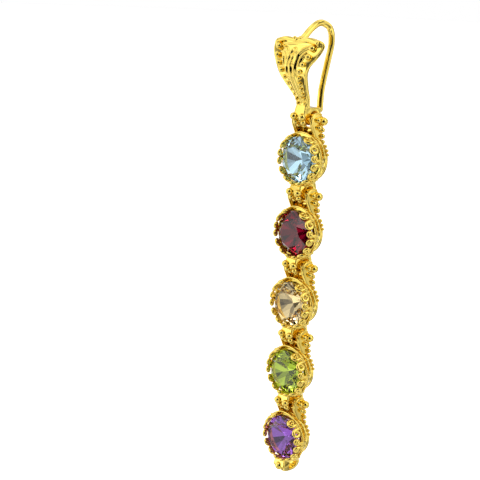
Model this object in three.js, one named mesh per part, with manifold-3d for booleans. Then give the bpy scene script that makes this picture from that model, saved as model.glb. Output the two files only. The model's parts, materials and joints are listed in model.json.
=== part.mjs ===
// A long drop earring: an ear hook with a fluted fan, and five stone settings hinged one below the other.
// Millimetres. +X is to the wearer's side, -Y is the front, +Z is up. The origin is the inside of the ear
// wire's top, where the wire rests in the ear.
import * as THREE from 'three';
import { mergeVertices } from 'three/addons/utils/BufferGeometryUtils.js';
import Module from 'manifold-3d';

const wasm = await Module();
wasm.setup();

// Stones
const stoneDiameter = 6;
const tableDiameter = 3.5;
const stoneCrownHeight = 1.05;
const girdleThickness = 0.16;
const pavilionDepth = 2.3;
const stoneClearance = 0.12;
const stoneColours = [0x8fc9e8, 0x8c1024, 0xead9a8, 0x8fb82a, 0x7a3fb0];

// Hinges: a cross bar through the bail of the piece above it
const pinRadius = 0.45;
const hingeClearance = 0.3;
const hingeDepth = 1.3;
const pinHeight = 5.5;
const bailDrop = 4.22;
const sideClearance = 0.3;

// Settings
const galleryFront = 0.3;
const galleryBack = 0.8;
const galleryWall = 0.44;
const galleryBand = 0.3;
const slitAngle = 26;
const baseRingFront = 1.3;
const baseRingBack = 2.35;
const baseRingOuterRadius = 3;
const baseRingWall = 0.6;
const scrollWireRadius = 0.18;
const scrollRadius = 0.5;
const scrollTop = -0.78;
const scrollPairAngle = 45;

// Ears and their granules
const earThickness = 0.42;
const earHeadRadius = 1.16;
const earHeadDrop = 0.5;
const earHeadLead = 0.1;
const earHollow = 0.55;
const earFootDepth = 0.65;
const earBallRadius = 0.56;
const edgeGranuleRadius = 0.33;
const edgeGranuleCount = 3;
const edgeGranuleShrink = 0.82;
const edgeGranuleStart = 46;
const ballLift = 0.45;
const webClearance = 0.28;
const webFront = 1.65;
const webBack = 2.1;

// Bails
const bailWidth = 2;
const bailFloor = 0.4;
const bailBackWall = 0.55;
const bailFrontReach = 0.7;
const bailFloorShare = 0.62;
const bailBallRadius = 0.46;
const lastBailBallRadius = 0.6;

// Ear hook
const wireRadius = 0.43;
const seatToFirstPin = 11.15;
const girdleForward = 2.7;
const wireReachBack = 1.92;
const wireTailHeight = 10.35;
const wireTailBack = 0.5;
const wireStartDrop = 1.7;
const wireStartForward = 3.65;
const fanHalfWidth = 4.3;
const fanTopDrop = 1.3;
const fanForward = 5.3;
const fanThickness = 0.7;
const neckForward = 2.85;
const ribRadius = 0.22;
const fanGranuleRadius = 0.44;
const fanGranuleShrink = 0.92;
const fanGranuleCount = 10;
const fanGranuleStart = 0.14;
const collarRadius = 0.5;

// Fineness of the meshes
const ringSides = 16;
const wireSides = 10;
const thinWireSides = 5;
const boreSides = 12;
const boltSides = 10;

// How far joined pieces of metal reach into each other
const joinDepth = 0.25;

// The distance from one granule to the next, as a share of both their radii
const ringGranuleSpacing = 1.25;
const fanGranuleSpacing = 1.3;

// Worked out from the sizes above
const stoneRadius = stoneDiameter / 2;
const tableRadius = tableDiameter / 2;
const girdleHalf = girdleThickness / 2;
const boreRadius = pinRadius + hingeClearance;
const earInside = bailWidth / 2 + sideClearance;
const earOutside = earInside + earThickness;
const linkPitch = pinHeight + bailDrop;
const stoneRoomRadius = (stoneRadius + stoneClearance) / Math.cos(Math.PI / ringSides);
const wallRadius = stoneRoomRadius + scrollWireRadius;
const baseRingInside = baseRingOuterRadius - baseRingWall;
const bailReach = boreRadius + bailBackWall;
const hingeRowY = hingeDepth - girdleForward;

// Turns an outline drawn in (y, z) and extruded into one that runs along X
const alongX = new THREE.Matrix4().makeBasis(
  new THREE.Vector3(0, 1, 0),
  new THREE.Vector3(0, 0, 1),
  new THREE.Vector3(1, 0, 0),
);

// Turns an outline drawn in (x, z) and extruded into one that runs towards -Y
const alongFront = new THREE.Matrix4().makeBasis(
  new THREE.Vector3(1, 0, 0),
  new THREE.Vector3(0, 0, 1),
  new THREE.Vector3(0, -1, 0),
);

// Joins the shared vertices of a closed geometry and makes it a solid, with its faces pointing out
function solidOf(geometry) {
  const bare = geometry.clone();
  bare.deleteAttribute('normal');
  bare.deleteAttribute('uv');
  const merged = mergeVertices(bare, 1e-5);
  const position = merged.attributes.position;
  const corners = [0, 1, 2].map(() => new THREE.Vector3());
  const faces = [];
  let volume = 0;
  for (let i = 0; i < merged.index.count; i += 3) {
    const face = [0, 1, 2].map((k) => merged.index.getX(i + k));
    if (new Set(face).size < 3) continue;
    face.forEach((vertex, k) => corners[k].fromBufferAttribute(position, vertex));
    volume += corners[0].dot(corners[1].clone().cross(corners[2]));
    faces.push(face);
  }
  const triangles = volume < 0 ? faces.map(([a, b, c]) => [a, c, b]) : faces;
  return new wasm.Manifold(new wasm.Mesh({
    numProp: 3,
    vertProperties: new Float32Array(position.array),
    triVerts: new Uint32Array(triangles.flat()),
  }));
}

// Joins a list of overlapping solids into one
function join(solids) {
  return solids.reduce((whole, next) => whole.add(next));
}

// A named mesh of a solid
function meshOf(name, solid, material) {
  const { vertProperties, triVerts } = solid.getMesh();
  const geometry = new THREE.BufferGeometry();
  geometry.setAttribute('position', new THREE.BufferAttribute(vertProperties, 3));
  geometry.setIndex(new THREE.BufferAttribute(triVerts, 1));
  geometry.computeVertexNormals();
  const mesh = new THREE.Mesh(geometry, material);
  mesh.name = name;
  return mesh;
}

// A granule or ball
function ball(x, y, z, radius, detail = 0) {
  return solidOf(new THREE.IcosahedronGeometry(radius, detail).translate(x, y, z));
}

// A round wire through a list of points
function wire(points, radius, sides, steps) {
  const section = new THREE.Shape();
  for (let i = 0; i < sides; i += 1) {
    const angle = (2 * Math.PI * i) / sides;
    const place = [radius * Math.cos(angle), radius * Math.sin(angle)];
    if (i === 0) section.moveTo(...place);
    else section.lineTo(...place);
  }
  section.closePath();
  const extrudePath = new THREE.CatmullRomCurve3(points);
  return solidOf(new THREE.ExtrudeGeometry(section, { steps, bevelEnabled: false, extrudePath }));
}

// A ring or cone turned about the Y axis, from a closed profile of [radius, y]
function turned(profile, sides) {
  const points = [...profile, profile[0]].map(([radius, y]) => new THREE.Vector2(radius, y));
  return solidOf(new THREE.LatheGeometry(points, sides));
}

// A plate with an outline in (y, z), centred on x
function plateAcross(shape, x, width, curveSegments) {
  const geometry = new THREE.ExtrudeGeometry(shape, { depth: width, bevelEnabled: false, curveSegments });
  return solidOf(geometry.translate(0, 0, -width / 2).applyMatrix4(alongX).translate(x, 0, 0));
}

// A plate with an outline in (x, z), from back to front
function plateFacing(shape, back, front) {
  const geometry = new THREE.ExtrudeGeometry(shape, { depth: back - front, bevelEnabled: false });
  return solidOf(geometry.applyMatrix4(alongFront).translate(0, back, 0));
}

// A bar along X
function crossBar(radius, length, y, z, sides) {
  const geometry = new THREE.CylinderGeometry(radius, radius, length, sides);
  return solidOf(geometry.rotateZ(Math.PI / 2).translate(0, y, z));
}

// A closed outline through places given as [across, up]
function outlineOf(places) {
  return new THREE.Shape(places.map(([across, up]) => new THREE.Vector2(across, up)));
}

// A round cut stone: table, star, main and upper girdle facets, then lower girdle and pavilion mains.
// The girdle's middle is at the origin and the table faces -Y.
function cutStone() {
  const mains = 8;
  const half = Math.PI / mains;
  const crownTop = -girdleHalf - stoneCrownHeight;
  const culet = girdleHalf + pavilionDepth;
  const kiteRadius = (stoneRadius * 0.6 + tableRadius * 0.4) / Math.cos(half);
  const kiteShare = (stoneRadius - kiteRadius * Math.cos(half)) / (stoneRadius - tableRadius);
  const kiteY = -girdleHalf - stoneCrownHeight * kiteShare;
  const pavilionKiteRadius = stoneRadius * 0.3;
  const pavilionShare = (pavilionKiteRadius * Math.cos(half)) / stoneRadius;
  const pavilionKiteY = culet - pavilionDepth * pavilionShare;
  const at = (radius, y, step) => [radius * Math.cos(step * half), y, radius * Math.sin(step * half)];
  const facets = [Array.from({ length: mains }, (_, i) => at(tableRadius, crownTop, 2 * i))];
  for (let i = 0; i < mains; i += 1) {
    const s = 2 * i;
    const table = at(tableRadius, crownTop, s);
    const nextTable = at(tableRadius, crownTop, s + 2);
    const star = at(kiteRadius, kiteY, s + 1);
    const lastStar = at(kiteRadius, kiteY, s - 1);
    const low = at(pavilionKiteRadius, pavilionKiteY, s + 1);
    const lastLow = at(pavilionKiteRadius, pavilionKiteY, s - 1);
    const [frontRim, backRim] = [-girdleHalf, girdleHalf]
      .map((y) => [s, s + 1, s + 2].map((step) => at(stoneRadius, y, step)));
    facets.push([nextTable, table, star]);
    facets.push([table, lastStar, frontRim[0], star]);
    for (const k of [0, 1]) {
      facets.push([star, frontRim[k], frontRim[k + 1]]);
      facets.push([frontRim[k + 1], frontRim[k], backRim[k], backRim[k + 1]]);
      facets.push([low, backRim[k + 1], backRim[k]]);
    }
    facets.push([[0, culet, 0], low, backRim[0], lastLow]);
  }
  const places = [];
  for (const facet of facets) {
    for (let i = 1; i + 1 < facet.length; i += 1) places.push(...facet[0], ...facet[i], ...facet[i + 1]);
  }
  const geometry = new THREE.BufferGeometry();
  geometry.setAttribute('position', new THREE.Float32BufferAttribute(places, 3));
  return solidOf(geometry);
}

// The room that a stone needs in its setting
function stoneRoom() {
  const front = -girdleHalf - stoneCrownHeight - stoneClearance;
  return turned([
    [0, front],
    [tableRadius + stoneClearance, front],
    [stoneRoomRadius, -girdleHalf],
    [stoneRoomRadius, girdleHalf],
    [0, girdleHalf + pavilionDepth + stoneClearance],
  ], ringSides);
}

// A place on the round wall of a setting: arc is along the wall from the angle turn, in radians
function onWall(turn, arc, y) {
  const angle = turn + arc / wallRadius;
  return new THREE.Vector3(wallRadius * Math.cos(angle), y, wallRadius * Math.sin(angle));
}

// Pairs of scrolls, counted from the bottom of the setting to both sides. A row gives the radius of the
// scroll that is nearer to the bottom and of the one nearer to the top, as shares of the scroll radius.
const scrollPairs = [
  { place: 0, lower: 0.7, upper: 0.7 },
  { place: 1, lower: 1, upper: 0.9 },
  { place: 2, lower: 0.66, upper: 0.66 },
  { place: 3, lower: 1.1, upper: 1 },
];

// A scroll that rises from the gallery's front beside the angle turn and curls away to its side
function scroll(turn, side, radius) {
  const centreY = scrollTop + radius;
  const stemArc = 1.3 * scrollWireRadius;
  const centreArc = radius + stemArc;
  const steps = 4;
  const curl = 1.4 * Math.PI;
  const innerShare = 0.45;
  const points = [onWall(turn, side * stemArc, galleryFront + galleryBand / 2)];
  for (let i = 0; i <= steps; i += 1) {
    const share = i / steps;
    const angle = Math.PI - curl * share;
    const reach = radius * THREE.MathUtils.lerp(1, innerShare, share);
    const arc = centreArc + reach * Math.cos(angle);
    points.push(onWall(turn, side * arc, centreY - reach * Math.sin(angle)));
  }
  return wire(points, scrollWireRadius, thinWireSides, steps);
}

// A slit cut through the wall between the gallery and the base ring, seen from the side that it faces
function slit(turn) {
  const half = THREE.MathUtils.degToRad(slitAngle / 2);
  const inner = wallRadius / 2;
  const outer = 2 * wallRadius;
  const wedge = new THREE.Shape();
  wedge.moveTo(inner * Math.cos(turn - half), inner * Math.sin(turn - half));
  wedge.lineTo(outer * Math.cos(turn - half), outer * Math.sin(turn - half));
  wedge.lineTo(outer * Math.cos(turn + half), outer * Math.sin(turn + half));
  wedge.lineTo(inner * Math.cos(turn + half), inner * Math.sin(turn + half));
  wedge.closePath();
  return plateFacing(wedge, baseRingFront, galleryBack);
}

// The wall round the stone's underside, which ends in the smooth base ring, with the scrolls on its front
function crown() {
  const seatRadius = stoneRadius * (1 - (galleryFront - girdleHalf) / pavilionDepth) + stoneClearance;
  const galleryOutside = wallRadius + galleryWall / 2;
  const waist = baseRingOuterRadius - baseRingWall / 3;
  let wall = turned([
    [seatRadius, galleryFront],
    [galleryOutside, galleryFront],
    [galleryOutside, galleryFront + galleryBand],
    [waist, galleryBack],
    [waist, baseRingFront],
    [baseRingOuterRadius, baseRingFront + baseRingWall / 2],
    [waist, baseRingBack],
    [baseRingInside, baseRingBack],
    [baseRingInside, galleryBack],
  ], ringSides);
  const scrolls = [];
  for (const { place, lower, upper } of scrollPairs) {
    const sides = place === 0 ? [1] : [-1, 1];
    for (const side of sides) {
      const turn = THREE.MathUtils.degToRad(side * place * scrollPairAngle - 90);
      scrolls.push(scroll(turn, -side, lower * scrollRadius));
      scrolls.push(scroll(turn, side, upper * scrollRadius));
      if (place > 0 && place < 3) wall = wall.subtract(slit(turn));
    }
  }
  return [wall, ...scrolls];
}

// Balls on the outer face of an ear, back and up from the hinge as shares of the ear head's radius, with
// their size as a share of the ear ball's
const earBalls = [
  { back: 0.67, up: -0.13, size: 1 },
  { back: -0.3, up: 0.39, size: 0.48 },
  { back: 0.43, up: -1, size: 0.66 },
  { back: 0.66, up: -1.98, size: 0.62 },
];

// An ear: a round-headed plate beside the bail above, hollow in front and narrowing to its foot on the base
// ring, with balls on its outer face and granules that shrink along the ring
function ear(side) {
  const headY = hingeDepth - earHeadLead;
  const headZ = pinHeight - earHeadDrop;
  const footZ = Math.sqrt((baseRingOuterRadius - joinDepth) ** 2 - earOutside ** 2) - joinDepth;
  const frontFootY = baseRingBack - joinDepth - earFootDepth;
  const shape = new THREE.Shape();
  shape.moveTo(baseRingBack - joinDepth, footZ);
  shape.absarc(headY, headZ, earHeadRadius, -0.1 * Math.PI, 1.1 * Math.PI, false);
  shape.quadraticCurveTo(headY - earHollow, (headZ + footZ) / 2, frontFootY, footZ);
  shape.closePath();
  const across = side * (earInside + earThickness / 2);
  const solids = [plateAcross(shape, across, earThickness, 5)];
  for (const { back, up, size } of earBalls) {
    const radius = size * earBallRadius;
    const x = side * (earOutside + ballLift * radius);
    const detail = size === 1 ? 1 : 0;
    solids.push(ball(x, hingeDepth + back * earHeadRadius, pinHeight + up * earHeadRadius, radius, detail));
  }
  let radius = edgeGranuleRadius;
  let turn = THREE.MathUtils.degToRad(edgeGranuleStart);
  const reach = baseRingOuterRadius - joinDepth / 2;
  for (let i = 0; i < edgeGranuleCount; i += 1) {
    solids.push(ball(side * reach * Math.cos(turn), baseRingBack - radius, reach * Math.sin(turn), radius));
    const next = radius * edgeGranuleShrink;
    turn -= (ringGranuleSpacing * (radius + next)) / baseRingOuterRadius;
    radius = next;
  }
  return solids;
}

// The web that joins both ears behind the bail above, hollowed round the hinge
function web() {
  const hollow = bailReach + webClearance;
  const shape = new THREE.Shape();
  shape.moveTo(webFront, baseRingInside);
  const angleAt = (y) => -Math.acos((y - hingeDepth) / hollow);
  shape.absarc(hingeDepth, pinHeight, hollow, angleAt(webFront), angleAt(webBack), false);
  shape.lineTo(webBack, baseRingInside);
  shape.closePath();
  return plateAcross(shape, 0, 2 * earInside + earThickness, 3);
}

// The solid part of a bail seen from the side, round a bore at (boreY, boreZ): up is where it meets what
// is above it, at the heights topFront and topBack
function bailSide(boreY, boreZ, topFront, topBack) {
  const floor = boreZ - boreRadius - bailFloor;
  const back = boreY + bailReach;
  const front = boreY - bailReach - bailFrontReach;
  const shape = new THREE.Shape();
  shape.moveTo(front + joinDepth, topFront);
  shape.lineTo(front, boreZ);
  shape.lineTo(front + bailFrontReach * 0.5, boreZ - boreRadius * 0.9);
  shape.lineTo(boreY - boreRadius, floor + bailFloor * 0.25);
  shape.lineTo(boreY + boreRadius * 0.3, floor);
  shape.quadraticCurveTo(back, floor, back, boreZ);
  shape.lineTo(back - joinDepth, topBack);
  shape.closePath();
  const bore = new THREE.Path();
  bore.absarc(boreY, boreZ, boreRadius, 0, 2 * Math.PI, true);
  shape.holes.push(bore);
  return shape;
}

// The bail seen from the front: it narrows towards its floor
function bailFace(topZ, boreZ) {
  const half = bailWidth / 2;
  const floor = boreZ - boreRadius - bailFloor - joinDepth;
  return outlineOf([
    [-half, topZ],
    [-half, boreZ],
    [-half * bailFloorShare, floor],
    [half * bailFloorShare, floor],
    [half, boreZ],
    [half, topZ],
  ]);
}

// The rows of granules on a bail: across as a share of its half width, and down from the bore, back from its
// front and size as shares of the bail ball's radius
const bailRows = [
  { across: 0.74, down: -0.22, back: 0, size: 1 },
  { across: 0.64, down: 1.48, back: 0.72, size: 0.7 },
  { across: 0.5, down: 2.4, back: 1.63, size: 0.56 },
];

// A bail with its granules, in two columns of three, or one ball on the last link
function bail(boreY, boreZ, topFront, topBack, single) {
  const sideShape = bailSide(boreY, boreZ, topFront, topBack);
  const front = boreY - bailReach - bailFrontReach;
  const back = boreY + bailReach;
  const top = Math.max(topFront, topBack);
  const body = plateAcross(sideShape, 0, bailWidth, boreSides / 2)
    .intersect(plateFacing(bailFace(top, boreZ), back + joinDepth, front - joinDepth));
  if (single) return [body, ball(0, front + lastBailBallRadius * 0.4, boreZ, lastBailBallRadius, 1)];
  const solids = [body];
  for (const { across, down, back: inset, size } of bailRows) {
    for (const side of [-1, 1]) {
      const x = (side * across * bailWidth) / 2;
      const z = boreZ - down * bailBallRadius;
      solids.push(ball(x, front + inset * bailBallRadius, z, bailBallRadius * size));
    }
  }
  return solids;
}

// A setting: crown, ears, cross bar and bail, cast in one piece and cut clear of its stone
function setting(last) {
  const solids = [
    ...crown(),
    ...ear(-1),
    ...ear(1),
    web(),
    crossBar(pinRadius, 2 * earInside + earThickness, hingeDepth, pinHeight, boltSides),
    ...bail(hingeDepth, -bailDrop, -stoneRadius, -baseRingInside, last),
  ];
  return join(solids).subtract(stoneRoom());
}

// The fan's top edge from its middle to its shoulder, as shares of its half width and of its height
const fanTopEdge = [
  { across: 0, down: 0.02 },
  { across: 0.45, down: 0 },
  { across: 0.7, down: 0.024 },
  { across: 0.92, down: 0.05 },
];

// The fan below its shoulders: half width, height, how far its front stands forward of the neck, and where
// its granules sit, as shares of the half width, the height, the forward reach and the half width there
const fanSections = [
  { down: 0.09, across: 1, forward: 0.62, granule: 0.66 },
  { down: 0.195, across: 0.955, forward: 0.775, granule: 0.68 },
  { down: 0.287, across: 0.85, forward: 0.9, granule: 0.69 },
  { down: 0.402, across: 0.66, forward: 1, granule: 0.66 },
  { down: 0.517, across: 0.547, forward: 0.92, granule: 0.58 },
  { down: 0.632, across: 0.45, forward: 0.67, granule: 0.54 },
  { down: 0.747, across: 0.35, forward: 0.4, granule: 0.54 },
  { down: 0.862, across: 0.268, forward: 0.13, granule: 0.6 },
  { down: 1, across: 0.205, forward: 0, granule: 0.62 },
];

const neckHeight = -(seatToFirstPin - boreRadius - bailFloor);
const fanHeight = -fanTopDrop - neckHeight;

// A column of the fan's sections at a share of its height
function fanColumn(down, column) {
  const after = fanSections.findIndex((section) => section.down >= down);
  if (after < 1) return fanSections[after === 0 ? 0 : fanSections.length - 1][column];
  const [high, low] = [fanSections[after - 1], fanSections[after]];
  return THREE.MathUtils.mapLinear(down, high.down, low.down, high[column], low[column]);
}

// A place on the front of the fan
function onFan(across, down) {
  const y = -THREE.MathUtils.lerp(neckForward, fanForward, fanColumn(down, 'forward'));
  return new THREE.Vector3(across, y, -fanTopDrop - down * fanHeight);
}

// Ribs of the fan's leaf, as shares of the half width and of the height
const fanRibs = [
  { top: 0, foot: 0, start: 0.14 },
  { top: 0.26, foot: 0.05, start: 0.1 },
  { top: -0.26, foot: -0.05, start: 0.1 },
];
const fanRibEnd = 0.9;

// The fan: its front outline and its side outline cut from each other, with ribs and granules
function fan() {
  const right = [...fanTopEdge, ...fanSections]
    .map(({ across, down }) => [across * fanHalfWidth, onFan(0, down).z]);
  const left = right.slice(1).reverse().map(([x, z]) => [-x, z]);
  const rows = [0, ...fanSections.map(({ down }) => down)].map((down) => onFan(0, down));
  const frontPlaces = rows.map(({ y, z }) => [y, z]);
  const backPlaces = rows.map(({ y, z }) => [y + fanThickness, z]);
  const body = plateAcross(outlineOf([...frontPlaces, ...backPlaces.reverse()]), 0, 3 * fanHalfWidth, 1)
    .intersect(plateFacing(outlineOf([...right, ...left]), 0, -2 * fanForward));
  const solids = [body];
  for (const { top, foot, start } of fanRibs) {
    const steps = 4;
    const points = [];
    for (let i = 0; i <= steps; i += 1) {
      const share = i / steps;
      const x = fanHalfWidth * THREE.MathUtils.lerp(top, foot, Math.sqrt(share));
      points.push(onFan(x, THREE.MathUtils.lerp(start, fanRibEnd, share)));
    }
    solids.push(wire(points, ribRadius, thinWireSides, steps));
  }
  let down = fanGranuleStart;
  let radius = fanGranuleRadius;
  for (let i = 0; i < fanGranuleCount; i += 1) {
    const across = fanHalfWidth * fanColumn(down, 'across') * fanColumn(down, 'granule');
    const { y, z } = onFan(across, down);
    for (const x of [-across, across]) solids.push(ball(x, y, z, radius));
    const next = radius * fanGranuleShrink;
    down += (fanGranuleSpacing * (radius + next)) / fanHeight;
    radius = next;
  }
  return solids;
}

// The ear wire: it rises from the top of the fan, passes over the ear and falls to its rounded tail
function earWire() {
  const rise = (share) => -wireStartForward * share;
  const fall = (share) => -wireTailHeight * share;
  const lean = (share) => THREE.MathUtils.lerp(wireTailBack, wireReachBack, share);
  const places = [
    [rise(1), -wireStartDrop],
    [rise(0.82), -wireStartDrop * 0.71],
    [rise(0.54), -wireStartDrop * 0.19],
    [rise(0.25), wireRadius * 0.7],
    [0, wireRadius],
    [wireReachBack * 0.64, 0],
    [wireReachBack * 0.93, fall(0.078)],
    [wireReachBack, fall(0.17)],
    [wireReachBack * 0.97, fall(0.254)],
    [lean(0.68), fall(0.4)],
    [lean(0.45), fall(0.53)],
    [lean(0.24), fall(0.65)],
    [lean(0.05), fall(0.8)],
    [wireTailBack, -wireTailHeight],
  ];
  const points = places.map(([y, z]) => new THREE.Vector3(0, y, z));
  return [
    wire(points, wireRadius, wireSides, 20),
    ball(0, wireTailBack, -wireTailHeight, wireRadius, 1),
    ball(0, -wireStartForward, -wireStartDrop, collarRadius),
  ];
}

// The ear hook: wire, fan and the bail that carries the first setting
function earHook() {
  const solids = [...fan(), ...earWire()];
  solids.push(...bail(hingeRowY, -seatToFirstPin, neckHeight + joinDepth, neckHeight, false));
  return join(solids);
}

const gold = new THREE.MeshStandardMaterial({ color: 0xe8b93a, roughness: 0.22, metalness: 1 });
const earring = new THREE.Group();
earring.name = 'drop_earring';
earring.add(meshOf('ear_hook', earHook(), gold));

const stone = cutStone();
stoneColours.forEach((colour, i) => {
  const link = new THREE.Group();
  link.position.set(0, -girdleForward, -(seatToFirstPin + pinHeight + i * linkPitch));
  const gem = new THREE.MeshStandardMaterial({ color: colour, roughness: 0.05, metalness: 0 });
  const last = i === stoneColours.length - 1;
  link.add(meshOf(`setting_${i + 1}`, setting(last), gold));
  link.add(meshOf(`stone_${i + 1}`, stone, gem));
  earring.add(link);
});

export default earring;
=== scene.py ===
"""The looks of a long drop earring: gold settings, ear hook, cut stones and a pale studio.

Shapes are drawn in millimetres, in the frame of one link, and brought to metres at their place. A link's
frame has its origin in the middle of its stone's girdle, with +X across, -Y to the front and +Z up.
"""

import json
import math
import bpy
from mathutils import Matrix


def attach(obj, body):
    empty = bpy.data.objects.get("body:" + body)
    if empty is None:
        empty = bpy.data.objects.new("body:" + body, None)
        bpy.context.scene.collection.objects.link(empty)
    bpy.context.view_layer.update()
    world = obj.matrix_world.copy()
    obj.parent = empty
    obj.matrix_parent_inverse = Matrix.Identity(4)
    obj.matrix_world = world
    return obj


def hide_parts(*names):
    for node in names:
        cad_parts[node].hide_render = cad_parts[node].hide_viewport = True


bl_info = {
    "name": "Drop earring",
    "version": (1, 0, 0),
    "blender": (4, 5, 0),
    "location": "3D View > Sidebar > Earring",
    "description": "Makes the gold, the stones and the studio of a long drop earring",
    "category": "Object",
}

import bpy
import numpy as np
from mathutils import Matrix, Vector
from mathutils.geometry import tessellate_polygon

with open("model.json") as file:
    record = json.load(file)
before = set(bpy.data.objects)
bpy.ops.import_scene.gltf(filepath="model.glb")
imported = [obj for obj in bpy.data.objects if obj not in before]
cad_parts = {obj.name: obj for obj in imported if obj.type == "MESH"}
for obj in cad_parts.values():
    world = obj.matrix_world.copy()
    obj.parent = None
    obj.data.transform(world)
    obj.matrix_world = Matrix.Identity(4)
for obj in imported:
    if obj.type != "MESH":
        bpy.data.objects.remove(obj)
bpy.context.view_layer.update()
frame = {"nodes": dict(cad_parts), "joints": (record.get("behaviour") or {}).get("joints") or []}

MM = 0.001
LINK_COUNT = sum(name.startswith("stone_") for name in frame["nodes"])


def stone_place(number):
    """The middle of a stone's girdle and the stone's radius, from the frame, in millimetres."""
    mesh = frame["nodes"][f"stone_{number}"].data
    places = np.array([v.co for v in mesh.vertices]) / MM
    radius = places[:, 0].max()
    girdle = places[places[:, 0] > radius - 0.01]
    middle = (places.min(axis=0) + places.max(axis=0)) / 2
    return Vector((0.0, float(girdle[:, 1].mean()), float(middle[2]))), float(radius)


STONE_PLACES = [stone_place(number)[0] for number in range(1, LINK_COUNT + 1)]
STONE_RADIUS = stone_place(1)[1]
PINS = [Vector(joint["pos_m"]) / MM for joint in frame["joints"]]
UPPER_PIN = PINS[0] - STONE_PLACES[0]
LOWER_PIN = PINS[1] - STONE_PLACES[0]

# Sizes of the settings, the hinges and the bails, in millimetres
PIN_RADIUS = 0.45
BORE_RADIUS = 0.75
WALL_CLEARANCE = 0.1
GALLERY_FRONT = 0.3
GALLERY_BACK = 1.0
GALLERY_RADIUS = 3.56
GALLERY_EDGE = 0.15
GALLERY_BEVEL = 0.08
SEAT_SHARE = 0.92
BASE_FRONT = 1.3
BASE_BACK = 2.35
BASE_RADIUS = 3.0
BASE_WALL = 0.6
WAIST_DEPTH = 0.1
POST_DEPTH = 0.3
RIM_WIRE = 0.13
RIM_LIFT = 0.06
RIM_ANGLES = range(20, 157, 4)
SLIT_ANGLE = math.radians(26)
SCROLL_TOP = -0.78
PAIR_GRANULE = 0.2
PAIR_GRANULE_DEPTH = 0.05
EAR_GAP = 1.3
EAR_HEAD_RADIUS = 1.16
EAR_HEAD_LEAD = 0.1
EAR_HEAD_DROP = 0.66
EAR_HOLLOW = 0.55
EAR_FOOT_DEPTH = 0.65
EAR_EDGE_WIRE = 0.15
EAR_EDGE_INSET = 0.1
EAR_EDGE_DEPTH = 0.98
WEB_FRONT = 1.65
WEB_BACK = 2.1
WEB_CLEARANCE = 0.28
BAIL_WIDTH = 2.0
BAIL_FLOOR = 0.4
BAIL_BACK_WALL = 0.55
BAIL_FRONT_REACH = 0.7
LAST_BAIL_BALL = 0.6
BAIL_NECK_START = 0.3
BAIL_NECK_LENGTH = 1.4
BAIL_FLOOR_NARROWING = 0.38
BAIL_NECK_NARROWING = 0.2

# How far the middle of a ball stands out of the metal that it sits on, as a share of the ball's radius
PAIR_GRANULE_PROUD = 0.6
EAR_BALL_PROUD = 0.45
EDGE_GRANULE_PROUD = 0.3

# How far the last bail's ball lies behind the front of its bail, as a share of the ball's radius
LAST_BAIL_BALL_INSET = 0.4

# How far joined pieces of metal reach into each other, and how often the fused skin is smoothed
JOIN = 0.25
POLISH_PASSES = 5


class EarringSizes(bpy.types.PropertyGroup):
    """Sizes of the goldwork."""

    scroll_wire: bpy.props.FloatProperty(
        name="Scroll wire", description="Radius of the wire that the scrolls are bent from",
        default=0.25 * MM, unit="LENGTH", precision=5)
    scroll_radius: bpy.props.FloatProperty(
        name="Scroll", description="Radius of a scroll round the stone",
        default=0.5 * MM, unit="LENGTH", precision=5)
    scroll_lean: bpy.props.FloatProperty(
        name="Scroll lean", description="How far a scroll's tip leans over the stone",
        default=0.3 * MM, unit="LENGTH", precision=5)
    scroll_pair_angle: bpy.props.FloatProperty(
        name="Scroll pair angle", description="Angle from one pair of scrolls to the next",
        default=math.radians(45), subtype="ANGLE")
    ear_thickness: bpy.props.FloatProperty(
        name="Ear plate", description="Thickness of the plates that hold the hinge bar",
        default=0.42 * MM, unit="LENGTH", precision=5)
    ear_ball: bpy.props.FloatProperty(
        name="Ear ball", description="Radius of the big ball on an ear plate",
        default=0.56 * MM, unit="LENGTH", precision=5)
    edge_granule: bpy.props.FloatProperty(
        name="Edge granule", description="Radius of the first granule along the base ring",
        default=0.3 * MM, unit="LENGTH", precision=5)
    bail_granule: bpy.props.FloatProperty(
        name="Bail granule", description="Radius of the biggest granules on a bail",
        default=0.48 * MM, unit="LENGTH", precision=5)
    fan_granule: bpy.props.FloatProperty(
        name="Fan granule", description="Radius of the biggest granules on the fan",
        default=0.42 * MM, unit="LENGTH", precision=5)
    ear_wire: bpy.props.FloatProperty(
        name="Ear wire", description="Radius of the ear wire",
        default=0.43 * MM, unit="LENGTH", precision=5)
    fineness: bpy.props.FloatProperty(
        name="Fineness", description="Size of the smallest steps of the gold's surface",
        default=0.09 * MM, unit="LENGTH", precision=5)


class EarringColours(bpy.types.PropertyGroup):
    """Colours of the gold and the stones."""

    gold: bpy.props.FloatVectorProperty(
        name="Gold", description="Colour of the polished gold", subtype="COLOR", size=3,
        default=(0.95, 0.71, 0.15))
    gold_roughness: bpy.props.FloatProperty(
        name="Gold roughness", description="Roughness of the polished gold", default=0.08, subtype="FACTOR")
    sky_blue: bpy.props.FloatVectorProperty(
        name="Sky blue stone", description="Colour of the first stone", subtype="COLOR", size=3,
        default=(0.44, 0.69, 0.84))
    dark_red: bpy.props.FloatVectorProperty(
        name="Dark red stone", description="Colour of the second stone", subtype="COLOR", size=3,
        default=(0.16, 0.002, 0.012))
    champagne: bpy.props.FloatVectorProperty(
        name="Champagne stone", description="Colour of the third stone", subtype="COLOR", size=3,
        default=(0.86, 0.68, 0.34))
    green: bpy.props.FloatVectorProperty(
        name="Green stone", description="Colour of the fourth stone", subtype="COLOR", size=3,
        default=(0.45, 0.6, 0.05))
    purple: bpy.props.FloatVectorProperty(
        name="Purple stone", description="Colour of the fifth stone", subtype="COLOR", size=3,
        default=(0.34, 0.13, 0.62))


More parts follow.
